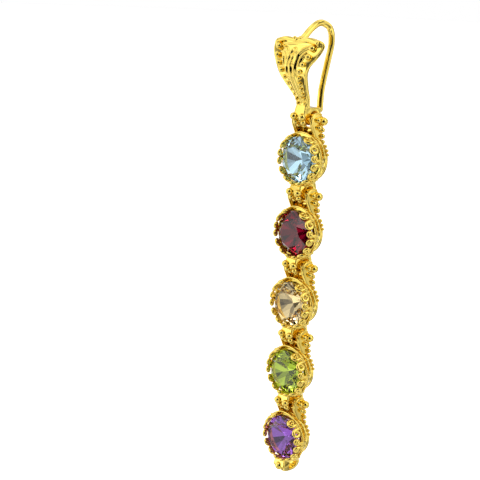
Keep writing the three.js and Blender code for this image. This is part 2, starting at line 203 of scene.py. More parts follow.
class EarringStudio(bpy.types.PropertyGroup):
    """The camera, the floor and the lights."""

    azimuth: bpy.props.FloatProperty(
        name="Azimuth", description="Side that the camera looks from", subtype="ANGLE",
        default=math.radians(43.3))
    elevation: bpy.props.FloatProperty(
        name="Elevation", description="Height of the camera above the horizon", subtype="ANGLE",
        default=math.radians(15.5))
    roll: bpy.props.FloatProperty(
        name="Roll", description="Tilt of the camera about its own axis", subtype="ANGLE",
        default=math.radians(3.54))
    distance: bpy.props.FloatProperty(
        name="Distance", description="Distance from the camera to the middle of the earring",
        default=120 * MM, unit="LENGTH")
    view_width: bpy.props.FloatProperty(
        name="View width", description="Width of the picture at the middle of the earring",
        default=63.8 * MM, unit="LENGTH")
    lens_radius: bpy.props.FloatProperty(
        name="Lens radius", description="Radius of the dark lens that the granules mirror",
        default=85 * MM, unit="LENGTH")
    floor: bpy.props.FloatVectorProperty(
        name="Floor", description="Colour of the floor", subtype="COLOR", size=3, default=(0.9, 0.9, 0.9))
    key_power: bpy.props.FloatProperty(
        name="Key light", description="Power of the soft light beside the camera", default=0.6, unit="POWER")


def sizes():
    """The sizes that the panel shows, in millimetres, by their name."""
    group = bpy.context.scene.earring_sizes
    lengths = {}
    for key in EarringSizes.__annotations__:
        value = getattr(group, key)
        lengths[key] = value if key.endswith("angle") else value / MM
    return lengths


# Closed shells, which are collected and then fused to one casting


class Shells:
    """Closed shells that together make one casting."""

    def __init__(self):
        self.places = []
        self.faces = []

    def add(self, places, faces):
        first = len(self.places)
        self.places.extend(tuple(place) for place in places)
        self.faces.extend([index + first for index in face] for face in faces)

    def add_mesh(self, mesh):
        self.add([v.co for v in mesh.vertices], [list(p.vertices) for p in mesh.polygons])


def smooth_path(points, steps):
    """Places along a smooth curve through the points, with steps places for each stretch."""
    ends = [2 * points[0] - points[1], *points, 2 * points[-1] - points[-2]]
    path = []
    for i in range(1, len(ends) - 2):
        before, start, end, after = ends[i - 1:i + 3]
        for step in range(steps):
            t = step / steps
            path.append(0.5 * (2 * start + (end - before) * t
                               + (2 * before - 5 * start + 4 * end - after) * t ** 2
                               + (3 * start - before - 3 * end + after) * t ** 3))
    path.append(points[-1])
    return path


def bezier(start, bend, end, t):
    """A place on the curve from start to end that leans towards bend, at the share t of its way."""
    return tuple(start * (1 - t) ** 2 + bend * 2 * t * (1 - t) + end * t ** 2)


def prism(outline, holes, low, high, place):
    """A closed plate with holes. place turns (across, up, depth) into a place of the link."""
    loops = [outline, *holes]
    flat = [point for loop in loops for point in loop]
    count = len(flat)
    triangles = tessellate_polygon([[Vector((*point, 0)) for point in loop] for loop in loops])
    places = [place(*point, depth) for depth in (low, high) for point in flat]
    faces = []
    for triangle in triangles:
        a, b, c = (Vector(flat[i]) for i in triangle)
        turned = (b - a).cross(c - a) < 0
        face = list(triangle)[::-1] if turned else list(triangle)
        faces.append([i + count for i in face])
        faces.append(face[::-1])
    first = 0
    for loop in loops:
        size = len(loop)
        area = sum(loop[i - 1][0] * loop[i][1] - loop[i][0] * loop[i - 1][1] for i in range(size))
        outer = loop is outline
        for i in range(size):
            a, b = first + i, first + (i + 1) % size
            if (area > 0) != outer:
                a, b = b, a
            faces.append([a, b, b + count, a + count])
        first += size
    return places, faces


def across_link(up_y, up_z, depth):
    """For a plate in the YZ plane, whose depth runs along X."""
    return (depth, up_y, up_z)


def facing_front(x, z, depth):
    """For a plate in the XZ plane, whose depth runs to the front."""
    return (x, -depth, z)


def arc(middle, radius, start, end, steps):
    """Points of an arc in a plane, with the angles in half turns."""
    angles = [math.pi * (start + (end - start) * i / steps) for i in range(steps + 1)]
    return [(middle[0] + radius * math.cos(a), middle[1] + radius * math.sin(a)) for a in angles]


def revolved(profile, start=0.0, end=2 * math.pi, steps=96):
    """A closed ring about the Y axis from a closed profile of (radius, y), or a closed stretch of one."""
    whole = abs(end - start - 2 * math.pi) < 1e-6
    rows = steps if whole else steps + 1
    count = len(profile)
    places = []
    for row in range(rows):
        angle = start + (end - start) * row / steps
        places.extend((r * math.cos(angle), y, r * math.sin(angle)) for r, y in profile)
    faces = []
    for row in range(steps):
        upper = (row + 1) % rows
        for i in range(count):
            j = (i + 1) % count
            faces.append([row * count + i, row * count + j, upper * count + j, upper * count + i])
    if not whole:
        faces.append(list(range(count))[::-1])
        faces.append([(rows - 1) * count + i for i in range(count)])
    return places, faces


# Node trees for what repeats


def tree_with(name, number_inputs):
    """A geometry tree with a geometry socket, named number inputs and a material input."""
    tree = bpy.data.node_groups.new(name, "GeometryNodeTree")
    tree.interface.new_socket("Geometry", in_out="INPUT", socket_type="NodeSocketGeometry")
    for socket_name, default in number_inputs.items():
        socket = tree.interface.new_socket(socket_name, in_out="INPUT", socket_type="NodeSocketInt")
        socket.default_value = default
    tree.interface.new_socket("Material", in_out="INPUT", socket_type="NodeSocketMaterial")
    tree.interface.new_socket("Geometry", in_out="OUTPUT", socket_type="NodeSocketGeometry")
    return tree


def finish_tree(tree, source, geometry):
    """Ends a tree in Realize Instances and Set Material."""
    realize = tree.nodes.new("GeometryNodeRealizeInstances")
    paint = tree.nodes.new("GeometryNodeSetMaterial")
    end = tree.nodes.new("NodeGroupOutput")
    tree.links.new(geometry, realize.inputs["Geometry"])
    tree.links.new(realize.outputs["Geometry"], paint.inputs["Geometry"])
    tree.links.new(source.outputs["Material"], paint.inputs["Material"])
    tree.links.new(paint.outputs["Geometry"], end.inputs["Geometry"])


def thickness_field(tree):
    """The radius that each point of the guide carries."""
    field = tree.nodes.new("GeometryNodeInputNamedAttribute")
    field.data_type = "FLOAT"
    field.inputs["Name"].default_value = "thickness"
    return field.outputs["Attribute"]


def granule_tree():
    """Puts a granule on each point of the guide."""
    tree = tree_with("Granules", {"Subdivisions": 3})
    source = tree.nodes.new("NodeGroupInput")
    sphere = tree.nodes.new("GeometryNodeMeshIcoSphere")
    sphere.inputs["Radius"].default_value = 1
    scatter = tree.nodes.new("GeometryNodeInstanceOnPoints")
    tree.links.new(source.outputs["Subdivisions"], sphere.inputs["Subdivisions"])
    tree.links.new(source.outputs["Geometry"], scatter.inputs["Points"])
    tree.links.new(sphere.outputs["Mesh"], scatter.inputs["Instance"])
    tree.links.new(thickness_field(tree), scatter.inputs["Scale"])
    finish_tree(tree, source, scatter.outputs["Instances"])
    return tree


def wire_tree():
    """Draws a round wire along each line of the guide."""
    tree = tree_with("Wires", {"Sides": 14})
    source = tree.nodes.new("NodeGroupInput")
    curve = tree.nodes.new("GeometryNodeMeshToCurve")
    circle = tree.nodes.new("GeometryNodeCurvePrimitiveCircle")
    circle.inputs["Radius"].default_value = 1
    sweep = tree.nodes.new("GeometryNodeCurveToMesh")
    sweep.inputs["Fill Caps"].default_value = True
    tree.links.new(source.outputs["Geometry"], curve.inputs["Mesh"])
    tree.links.new(curve.outputs["Curve"], sweep.inputs["Curve"])
    tree.links.new(thickness_field(tree), sweep.inputs["Scale"])
    tree.links.new(source.outputs["Sides"], circle.inputs["Resolution"])
    tree.links.new(circle.outputs["Curve"], sweep.inputs["Profile Curve"])
    finish_tree(tree, source, sweep.outputs["Mesh"])
    return tree


def repeated(tree, guide, material):
    """The plain mesh that a tree makes of a guide."""
    holder = bpy.data.objects.new(guide.name, guide)
    bpy.context.scene.collection.objects.link(holder)
    modifier = holder.modifiers.new(tree.name, "NODES")
    modifier.node_group = tree
    for item in tree.interface.items_tree:
        if item.in_out == "INPUT" and item.name == "Material":
            modifier[item.identifier] = material
    mesh = plain_mesh(holder)
    bpy.data.objects.remove(holder)
    return mesh


def plain_mesh(holder):
    """The mesh of an object with its modifiers applied."""
    graph = bpy.context.evaluated_depsgraph_get()
    graph.update()
    return bpy.data.meshes.new_from_object(holder.evaluated_get(graph), depsgraph=graph)


def guide_mesh(name, places, edges, thickness):
    """Points or lines that carry a thickness."""
    mesh = bpy.data.meshes.new(name)
    mesh.from_pydata([tuple(place) for place in places], edges, [])
    attribute = mesh.attributes.new("thickness", "FLOAT", "POINT")
    attribute.data.foreach_set("value", thickness)
    return mesh


class Ornament:
    """Granules and wires that are gathered first and drawn by their trees together."""

    def __init__(self, name):
        self.name = name
        self.granules = []
        self.lines = []

    def granule(self, place, radius):
        self.granules.append((Vector(place), radius))

    def line(self, path, thickness):
        radii = thickness if isinstance(thickness, list) else [thickness] * len(path)
        self.lines.append((path, radii))

    def add_to(self, shells, material):
        if self.granules:
            places, radii = zip(*self.granules)
            guide = guide_mesh(self.name + "_granules", places, [], radii)
            shells.add_mesh(repeated(granule_tree(), guide, material))
        if self.lines:
            places, edges, radii = [], [], []
            for path, thickness in self.lines:
                first = len(places)
                places.extend(path)
                radii.extend(thickness)
                edges.extend((first + i, first + i + 1) for i in range(len(path) - 1))
            guide = guide_mesh(self.name + "_wires", places, edges, radii)
            shells.add_mesh(repeated(wire_tree(), guide, material))


def fused(name, shells, step, smoothing, material):
    """One skin over all shells, with the soft fillets of a polished casting, in millimetres."""
    mesh = bpy.data.meshes.new(name)
    mesh.from_pydata(shells.places, [], shells.faces)
    holder = bpy.data.objects.new(name, mesh)
    bpy.context.scene.collection.objects.link(holder)
    remesh = holder.modifiers.new("Fuse", "REMESH")
    remesh.mode = "VOXEL"
    remesh.voxel_size = step
    remesh.use_smooth_shade = True
    smooth = holder.modifiers.new("Polish", "SMOOTH")
    smooth.factor = 0.5
    smooth.iterations = smoothing
    result = plain_mesh(holder)
    bpy.data.objects.remove(holder)
    result.materials.clear()
    result.materials.append(material)
    return result


def finished(name, shells, ornament, step, material):
    """The gold of one casting: its fused body with its round granules and wires soldered on."""
    crisp = Shells()
    crisp.add_mesh(fused(name, shells, step, POLISH_PASSES, material))
    ornament.add_to(crisp, material)
    mesh = bpy.data.meshes.new(name)
    mesh.from_pydata(crisp.places, [], crisp.faces)
    mesh.shade_smooth()
    mesh.materials.append(material)
    return mesh


def placed(node, mesh, shift, body):
    """The gold that stands for a node: a mesh drawn in millimetres, at its place in metres, on its body."""
    name = f"gold_{node}"
    own = mesh.copy()
    own.name = name
    own.transform(Matrix.Scale(MM, 4) @ Matrix.Translation(shift))
    piece = bpy.data.objects.new(name, own)
    bpy.context.scene.collection.objects.link(piece)
    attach(piece, body)
    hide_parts(node)


# Materials


def new_material(name):
    """A material with nodes, its shader and its object coordinates."""
    material = bpy.data.materials.new(name)
    material.use_nodes = True
    nodes = material.node_tree.nodes
    coordinates = nodes.new("ShaderNodeTexCoord")
    return material, nodes["Principled BSDF"], coordinates.outputs["Object"]


def noise_of(material, coordinates, size, detail):
    """A noise whose lumps have about that size in metres."""
    noise = material.node_tree.nodes.new("ShaderNodeTexNoise")
    noise.inputs["Scale"].default_value = 1 / size
    noise.inputs["Detail"].default_value = detail
    material.node_tree.links.new(coordinates, noise.inputs["Vector"])
    return noise.outputs["Fac"]


def between(material, value, low, high):
    """A value from 0 to 1 brought between two others."""
    node = material.node_tree.nodes.new("ShaderNodeMapRange")
    node.inputs["From Min"].default_value = 0.3
    node.inputs["From Max"].default_value = 0.7
    node.inputs["To Min"].default_value = low
    node.inputs["To Max"].default_value = high
    material.node_tree.links.new(value, node.inputs["Value"])
    return node.outputs["Result"]


def tinted(material, value, colours):
    """A value from 0 to 1 brought between two colours."""
    node = material.node_tree.nodes.new("ShaderNodeValToRGB")
    ramp = node.color_ramp
    for element, place, colour in zip(ramp.elements, (0.3, 0.7), colours):
        element.position = place
        element.color = (*colour, 1)
    material.node_tree.links.new(value, node.inputs["Fac"])
    return node.outputs["Color"]


def polished_gold():
    """Cast and polished gold: a little uneven, with fine polishing marks."""
    colours = bpy.context.scene.earring_colours
    material, shader, coordinates = new_material("polished_gold")
    links = material.node_tree.links
    shader.inputs["Metallic"].default_value = 1
    base = Vector(colours.gold)
    cloud = noise_of(material, coordinates, 1.3 * MM, 3)
    tone = tinted(material, cloud, (tuple(base * 0.94), tuple(base)))
    links.new(tone, shader.inputs["Base Color"])
    marks = noise_of(material, coordinates, 0.16 * MM, 4)
    rough = between(material, marks, colours.gold_roughness * 0.8, colours.gold_roughness * 1.3)
    links.new(rough, shader.inputs["Roughness"])
    bump = material.node_tree.nodes.new("ShaderNodeBump")
    bump.inputs["Strength"].default_value = 0.05
    bump.inputs["Distance"].default_value = 0.03 * MM
    links.new(noise_of(material, coordinates, 0.8 * MM, 2), bump.inputs["Height"])
    links.new(bump.outputs["Normal"], shader.inputs["Normal"])
    return material


# The stones from the top, each with its colour in the panel and how strongly it bends light
STONE_LOOKS = {
    "sky_blue_stone": {"colour": "sky_blue", "bend": 1.62},
    "dark_red_stone": {"colour": "dark_red", "bend": 1.74},
    "champagne_stone": {"colour": "champagne", "bend": 1.55},
    "green_stone": {"colour": "green", "bend": 1.66},
    "purple_stone": {"colour": "purple", "bend": 1.55},
}


def cut_stone_material(slot):
    """A clear, coloured stone whose colour is a little uneven."""
    look = STONE_LOOKS[slot]
    colour = Vector(getattr(bpy.context.scene.earring_colours, look["colour"]))
    material, shader, coordinates = new_material(slot)
    shader.inputs["Transmission Weight"].default_value = 1
    shader.inputs["IOR"].default_value = look["bend"]
    shader.inputs["Roughness"].default_value = 0.03
    cloud = noise_of(material, coordinates, 2.2 * MM, 2)
    tone = tinted(material, cloud, (tuple(colour * 0.9), tuple(colour)))
    material.node_tree.links.new(tone, shader.inputs["Base Color"])
    return material


# The settings


def on_wall(turn, across, y, radius):
    """A place on the round wall of a setting, across is along the wall from the angle turn."""
    angle = turn + across / radius
    return Vector((radius * math.cos(angle), y, radius * math.sin(angle)))


# Pairs of scrolls, counted from the bottom of the setting to both sides, with the radius of the scroll that
# is nearer to the bottom and of the one nearer to the top as shares of the scroll radius
SCROLL_PAIRS = [
    {"place": 0, "lower": 0.7, "upper": 0.7},
    {"place": 1, "lower": 1.0, "upper": 0.9},
    {"place": 2, "lower": 0.66, "upper": 0.66},
    {"place": 3, "lower": 1.1, "upper": 1.0},
]
SLIT_PLACES = (1, 2)
SCROLL_STEPS = 26

# A scroll's curl in half turns, and how much of its radius and of its wire is gone at its end
SCROLL_CURL = 1.9
SCROLL_CLOSING = 0.6
SCROLL_THINNING = 0.2

# How far a scroll's stem stands beside the middle of its pair and the bead at its end, as shares of the wire
SCROLL_STEM = 1.1
SCROLL_BEAD = 1.15


def scroll(ornament, size, turn, side, radius, wall_radius):
    """One scroll, which rises from the gallery beside the angle turn and curls away to its side."""
    wire = size["scroll_wire"]
    middle_y = SCROLL_TOP + radius
    stem = SCROLL_STEM * wire
    path = [on_wall(turn, side * stem, GALLERY_BACK - JOIN, wall_radius),
            on_wall(turn, side * stem, GALLERY_FRONT, wall_radius)]
    radii = [wire, wire]
    for i in range(SCROLL_STEPS + 1):
        share = i / SCROLL_STEPS
        angle = math.pi * (1 - SCROLL_CURL * share)
        curl = radius * (1 - SCROLL_CLOSING * share)
        across = stem + radius + curl * math.cos(angle)
        y = middle_y - curl * math.sin(angle)
        lean = size["scroll_lean"] * max(0, (GALLERY_FRONT - y) / (GALLERY_FRONT - SCROLL_TOP)) ** 1.5
        path.append(on_wall(turn, side * across, y, wall_radius - lean))
        radii.append(wire * (1 - SCROLL_THINNING * share))
    ornament.line(path, radii)
    ornament.granule(path[-1], SCROLL_BEAD * wire)


def pair_turn(size, place, side):
    """The angle of a pair of scrolls, with the bottom of the setting at place 0."""
    return side * place * size["scroll_pair_angle"] - math.pi / 2


def scroll_pairs(ornament, size, wall_radius):
    """Pairs of scrolls all round but at the top, with a granule at the foot of each pair."""
    for pair in SCROLL_PAIRS:
        for side in ((-1, 1) if pair["place"] else (1,)):
            turn = pair_turn(size, pair["place"], side)
            scroll(ornament, size, turn, -side, pair["lower"] * size["scroll_radius"], wall_radius)
            scroll(ornament, size, turn, side, pair["upper"] * size["scroll_radius"], wall_radius)
            reach = wall_radius + PAIR_GRANULE_PROUD * PAIR_GRANULE
            ornament.granule(on_wall(turn, 0, PAIR_GRANULE_DEPTH, reach), PAIR_GRANULE)


def crown_wall(shells, ornament, size):
    """The wall under the stone with a thin rim round it, four slits, and the smooth base ring."""
    seat = STONE_RADIUS * SEAT_SHARE
    inside = BASE_RADIUS - BASE_WALL
    waist = BASE_RADIUS - WAIST_DEPTH
    wall = [(seat, GALLERY_FRONT), (inside, GALLERY_BACK), (waist, GALLERY_BACK),
            (GALLERY_RADIUS - GALLERY_BEVEL, GALLERY_FRONT + 2 * GALLERY_EDGE),
            (GALLERY_RADIUS, GALLERY_FRONT + GALLERY_EDGE), (GALLERY_RADIUS, GALLERY_FRONT)]
    shells.add(*revolved(wall))
    middle = ((inside + BASE_RADIUS) / 2, (BASE_FRONT + BASE_BACK) / 2)
    half = ((BASE_RADIUS - inside) / 2, (BASE_BACK - BASE_FRONT) / 2)
    section = [(middle[0] + half[0] * math.cos(a), middle[1] - half[1] * math.sin(a))
               for a in np.linspace(0, 2 * math.pi, 16, endpoint=False)]
    shells.add(*revolved(section))
    outside = waist - POST_DEPTH
    post = [(inside, GALLERY_BACK - JOIN), (inside, BASE_FRONT + JOIN),
            (outside, BASE_FRONT + JOIN), (outside, GALLERY_BACK - JOIN)]
    slits = sorted(pair_turn(size, place, side) for place in SLIT_PLACES for side in (-1, 1))
    for slit, following in zip(slits, [*slits[1:], slits[0] + 2 * math.pi]):
        shells.add(*revolved(post, slit + SLIT_ANGLE / 2, following - SLIT_ANGLE / 2))
    rim = [on_wall(math.radians(angle), 0, GALLERY_FRONT + RIM_LIFT, GALLERY_RADIUS - GALLERY_BEVEL)
           for angle in RIM_ANGLES]
    ornament.line(rim, RIM_WIRE)
    ornament.granule(rim[0], RIM_WIRE)
    ornament.granule(rim[-1], RIM_WIRE)


# Balls on the outer face of an ear, back and up from the hinge as shares of the ear head's radius, with
# their size as a share of the ear ball's
EAR_BALLS = [
    {"back": 0.56, "up": -0.42, "size": 1.0},
    {"back": -0.2, "up": -0.28, "size": 0.6},
    {"back": 0.02, "up": -1.1, "size": 0.62},
    {"back": 0.52, "up": -1.36, "size": 0.62},
    {"back": 0.62, "up": -2.05, "size": 0.6},
]

# Where the raised edge of an ear runs on round the wall: degrees from the top, and how far from the middle
EAR_EDGE_ENDS = [
    {"turn": 34, "reach": 3.42},
    {"turn": 44, "reach": 3.48},
    {"turn": 56, "reach": 3.5},
    {"turn": 68, "reach": 3.44},
    {"turn": 80, "reach": 3.36},
]

# The granules along the base ring: how many there are and how far in front of its back, the angle of the
# first, how they shrink and how close they follow
EDGE_GRANULE_COUNT = 4
EDGE_GRANULE_LEAD = 0.3
EDGE_GRANULE_START = math.radians(51)
EDGE_GRANULE_SHRINK = 0.88
EDGE_GRANULE_SPACING = 1.2


def ear(shells, ornament, size, side):
    """A hinge ear: a round-headed plate, hollow in front, with a thin raised edge, balls and granules."""
    pin_y, pin_z = UPPER_PIN.y, UPPER_PIN.z
    head = (pin_y - EAR_HEAD_LEAD, pin_z - EAR_HEAD_DROP)
    thickness = size["ear_thickness"]
    outside = EAR_GAP + thickness
    foot_z = math.sqrt((BASE_RADIUS - JOIN) ** 2 - outside ** 2) - JOIN
    back_foot = (BASE_BACK - JOIN, foot_z)
    head_arc = arc(head, EAR_HEAD_RADIUS, -0.1, 1.1, 28)
    start, end = Vector(head_arc[-1]), Vector((back_foot[0] - EAR_FOOT_DEPTH, foot_z))
    bend = Vector((head[0] - EAR_HOLLOW, (head[1] + foot_z) / 2))
    front = [bezier(start, bend, end, i / 14) for i in range(1, 15)]
    middle = side * (EAR_GAP + thickness / 2)
    low, high = sorted((middle - thickness / 2, middle + thickness / 2))
    shells.add(*prism([back_foot, *head_arc, *front], [], low, high, across_link))
    edge = [Vector((side * (outside - EAR_EDGE_INSET), y, z)) for y, z in [*head_arc[10:], *front[:9]]]
    edge += [on_wall(math.pi / 2 - side * math.radians(row["turn"]), 0, EAR_EDGE_DEPTH, row["reach"])
             for row in EAR_EDGE_ENDS]
    ornament.line(smooth_path(edge, 2), EAR_EDGE_WIRE)
    face = side * outside
    for row in EAR_BALLS:
        radius = row["size"] * size["ear_ball"]
        place = (face + side * EAR_BALL_PROUD * radius, pin_y + row["back"] * EAR_HEAD_RADIUS,
                 pin_z + row["up"] * EAR_HEAD_RADIUS)
        ornament.granule(place, radius)
    radius = size["edge_granule"]
    turn = EDGE_GRANULE_START
    for _ in range(EDGE_GRANULE_COUNT):
        reach = BASE_RADIUS + EDGE_GRANULE_PROUD * radius
        place = (side * reach * math.cos(turn), BASE_BACK - EDGE_GRANULE_LEAD, reach * math.sin(turn))
        ornament.granule(place, radius)
        following = radius * EDGE_GRANULE_SHRINK
        turn -= EDGE_GRANULE_SPACING * (radius + following) / BASE_RADIUS
        radius = following


def web(shells, size):
    """The web that joins both ears behind the bail above, hollowed round the hinge."""
    pin = (UPPER_PIN.y, UPPER_PIN.z)
    hollow = BORE_RADIUS + BAIL_BACK_WALL + WEB_CLEARANCE
    start, end = (-math.acos((y - pin[0]) / hollow) / math.pi for y in (WEB_FRONT, WEB_BACK))
    foot = BASE_RADIUS - BASE_WALL
    outline = [(WEB_FRONT, foot), *arc(pin, hollow, start, end, 8), (WEB_BACK, foot)]
    reach = EAR_GAP + size["ear_thickness"] / 2
    shells.add(*prism(outline[::-1], [], -reach, reach, across_link))


# How far a bail reaches from its bore to the front and to the back
BAIL_FRONT = -(BORE_RADIUS + BAIL_BACK_WALL + BAIL_FRONT_REACH)
BAIL_BACK = BORE_RADIUS + BAIL_BACK_WALL


def bail_shells(shells, bore, top):
    """The solid part of a bail round its bore. The places of its top count from the bore, back to front."""
    floor = -BORE_RADIUS - BAIL_FLOOR
    corners = [(BAIL_FRONT, 0), (BAIL_FRONT + BAIL_FRONT_REACH * 0.5, -BORE_RADIUS * 0.9),
               (-BORE_RADIUS, floor + BAIL_FLOOR * 0.25), (BORE_RADIUS * 0.3, floor)]
    start, bend, end = Vector(corners[-1]), Vector((BAIL_BACK, floor)), Vector((BAIL_BACK, 0))
    curve = [bezier(start, bend, end, i / 8) for i in range(1, 9)]
    hole = arc((0, 0), BORE_RADIUS, 0, 2, 36)[:-1]

    def narrowed(y, z, depth):
        below = min(1, max(0, z / floor))
        above = min(1, max(0, (z - BAIL_NECK_START) / BAIL_NECK_LENGTH))
        width = 1 - BAIL_FLOOR_NARROWING * below - BAIL_NECK_NARROWING * above
        return (depth * width, bore[0] + y, bore[1] + z)

    shells.add(*prism([*corners, *curve, *top], [hole], -BAIL_WIDTH / 2, BAIL_WIDTH / 2, narrowed))


# The rows of granules on a bail: across in millimetres, and down from the bore, back from its front and size
# as shares of the bail granule's radius
BAIL_ROWS = [
    {"across": 0.74, "down": -0.1, "back": -0.1, "size": 1.0},
    {"across": 0.66, "down": 1.42, "back": 0.6, "size": 0.74},
    {"across": 0.52, "down": 2.3, "back": 1.55, "size": 0.56},
]


def bail(shells, ornament, size, pin, top, single):
    """A bail with two columns of granules, or with one ball on the last link."""
    bail_shells(shells, (pin.y, pin.z), top)
    front = pin.y + BAIL_FRONT
    if single:
        middle_y = front + LAST_BAIL_BALL_INSET * LAST_BAIL_BALL
        ornament.granule((0, middle_y, pin.z), LAST_BAIL_BALL)
        return
    granule = size["bail_granule"]
    for row in BAIL_ROWS:
        for side in (-1, 1):
            place = (side * row["across"], front + row["back"] * granule, pin.z - row["down"] * granule)
            ornament.granule(place, granule * row["size"])


def setting_mesh(last, material):
    """A whole setting in millimetres."""
    size = sizes()
    wall_radius = STONE_RADIUS + WALL_CLEARANCE + size["scroll_wire"]
    shells = Shells()
    ornament = Ornament("setting")
    crown_wall(shells, ornament, size)
    web(shells, size)
    scroll_pairs(ornament, size, wall_radius)
    for side in (-1, 1):
        ear(shells, ornament, size, side)
    bar_end = EAR_GAP + size["ear_thickness"] / 2
    ornament.line([Vector((x, UPPER_PIN.y, UPPER_PIN.z)) for x in (-bar_end, 0, bar_end)], PIN_RADIUS)
    top = [(BAIL_BACK - JOIN, BASE_WALL - BASE_RADIUS - LOWER_PIN.z),
           (BAIL_FRONT + JOIN, -STONE_RADIUS - JOIN - LOWER_PIN.z)]
    bail(shells, ornament, size, LOWER_PIN, top, last)
    return finished("setting", shells, ornament, size["fineness"], material)


class EARRING_OT_settings(bpy.types.Operator):
    """Makes the five settings, each with its scrolls, ears, hinge bar and bail"""

    bl_idname = "earring.settings"
    bl_label = "Make the settings"

    def execute(self, context):
        gold = bpy.data.materials["polished_gold"]
        common = setting_mesh(False, gold)
        final = setting_mesh(True, gold)
        for number, middle in enumerate(STONE_PLACES, 1):
            mesh = final if number == LINK_COUNT else common
            placed(f"setting_{number}", mesh, middle, f"link_{number}")
        return {"FINISHED"}


# The ear hook

FAN_HALF_WIDTH = 4.3
FAN_TOP = -1.3
FAN_FORWARD = 5.3
FAN_THICKNESS = 0.7
NECK_FORWARD = 2.85
NECK_HEIGHT = PINS[0].z + BORE_RADIUS + BAIL_FLOOR
FAN_HEIGHT = FAN_TOP - NECK_HEIGHT
FAN_FINENESS = 0.13
FAN_LOBE_FOOT = 0.3
FAN_LOBE_FADE = 0.35
FAN_EDGE_THINNING = 0.5
FAN_EDGE_SETBACK = 0.22
FAN_ARCH_WIRE = 0.15

# The rolled edge at the fan's top: its wire, its width as a share of the fan's, how far below the edge it
# lies at its sides and in its middle as shares of the height, and how deep it lies in the plate
FAN_ROLL_WIRE = 0.34
FAN_ROLL_WIDTH = 0.93
FAN_ROLL_SIDE_DROP = 0.035
FAN_ROLL_MIDDLE_DROP = 0.055
FAN_ROLL_DEPTH = 0.22

# The neck between the bail and the fan: its height, and how much its back and its front lean in
NECK_RISE = 1.2
NECK_BACK_LEAN = 0.1
NECK_FRONT_LEAN = 0.62

# The fan's top edge from its middle to its shoulder, as shares of its half width and of its height
FAN_TOP_EDGE = [
    {"across": 0.0, "down": 0.02},
    {"across": 0.45, "down": 0.0},
    {"across": 0.7, "down": 0.018},
    {"across": 0.88, "down": 0.042},
    {"across": 0.965, "down": 0.07},
]

# The fan below its shoulders: its height, half width, how far its front stands forward of the neck, and
# where its granules sit, as shares of the height, the half width, the forward reach and the half width there
FAN_SECTIONS = [
    {"down": 0.115, "across": 0.995, "forward": 0.66, "granule": 0.66},
    {"down": 0.195, "across": 0.955, "forward": 0.775, "granule": 0.68},
    {"down": 0.287, "across": 0.85, "forward": 0.9, "granule": 0.69},
    {"down": 0.402, "across": 0.66, "forward": 1.0, "granule": 0.66},
    {"down": 0.517, "across": 0.547, "forward": 0.92, "granule": 0.58},
    {"down": 0.632, "across": 0.45, "forward": 0.67, "granule": 0.54},
    {"down": 0.747, "across": 0.35, "forward": 0.4, "granule": 0.54},
    {"down": 0.862, "across": 0.268, "forward": 0.13, "granule": 0.6},
    {"down": 1.0, "across": 0.205, "forward": 0.0, "granule": 0.62},
]
FAN_CURVE = smooth_path([Vector((r["down"], r["across"], r["forward"])) for r in FAN_SECTIONS], 6)
FAN_DOWN, FAN_ACROSS, FAN_LEAN = (np.array(column) for column in zip(*FAN_CURVE))


def fan_front(down):
    """The fan's front surface at a share of its height."""
    return -(NECK_FORWARD + (FAN_FORWARD - NECK_FORWARD) * np.interp(down, FAN_DOWN, FAN_LEAN))


def fan_half(down):
    """The half width of the fan at a share of its height."""
    return FAN_HALF_WIDTH * np.interp(down, FAN_DOWN, FAN_ACROSS)


def fan_place(across, down, proud=0.0):
    """A place on the front of the fan."""
    return Vector((across, float(fan_front(down)) - proud, FAN_TOP - down * FAN_HEIGHT))


def fan_plate(shells, ornament, material):
    """The fan's shell, crowned across and thin at its edges, with a rolled top edge."""
    right = [Vector((row["across"] * FAN_HALF_WIDTH, fan_place(0, row["down"]).z))
             for row in [*FAN_TOP_EDGE, *FAN_SECTIONS]]
    right = smooth_path(right, 5)
    outline = [tuple(p) for p in right] + [(-p.x, p.y) for p in reversed(right[1:])]
    flat = Shells()
    flat.add(*prism(outline, [], -FAN_THICKNESS / 2, FAN_THICKNESS / 2, facing_front))
    mesh = fused("fan", flat, FAN_FINENESS, 2, material)
    x, y, z = np.array([v.co for v in mesh.vertices]).T
    down = (FAN_TOP - z) / FAN_HEIGHT
    across = np.clip(np.abs(x) / fan_half(down), 0, 1)
    lobes = 1 - np.clip((down - FAN_LOBE_FOOT) / FAN_LOBE_FADE, 0, 1)
    thin = 1 - FAN_EDGE_THINNING * lobes * across ** 2
    crowned = FAN_EDGE_SETBACK * lobes * across ** 2
    new_y = y * thin + fan_front(down) + FAN_THICKNESS / 2 + crowned
    for vertex, place in zip(mesh.vertices, zip(x, new_y, z)):
        vertex.co = place
    shells.add_mesh(mesh)
    roll = [Vector((row["across"] * FAN_HALF_WIDTH * FAN_ROLL_WIDTH, row["down"] + FAN_ROLL_SIDE_DROP))
            for row in FAN_TOP_EDGE[1:4]]
    roll = [Vector((-p.x, p.y)) for p in reversed(roll)] + [Vector((0, FAN_ROLL_MIDDLE_DROP))] + roll
    ornament.line(smooth_path([fan_place(p.x, p.y, -FAN_ROLL_DEPTH) for p in roll], 8), FAN_ROLL_WIRE)


# Ribs of the leaf on the fan, as shares of the half width and the height, with their radius in millimetres
FAN_RIB_STEPS = 28
FAN_RIBS = [
    {"top": 0.0, "foot": 0.0, "start": 0.24, "end": 0.93, "thick": 0.3},
    {"top": 0.26, "foot": 0.09, "start": 0.2, "end": 0.84, "thick": 0.24},
    {"top": -0.26, "foot": -0.09, "start": 0.2, "end": 0.84, "thick": 0.24},
]

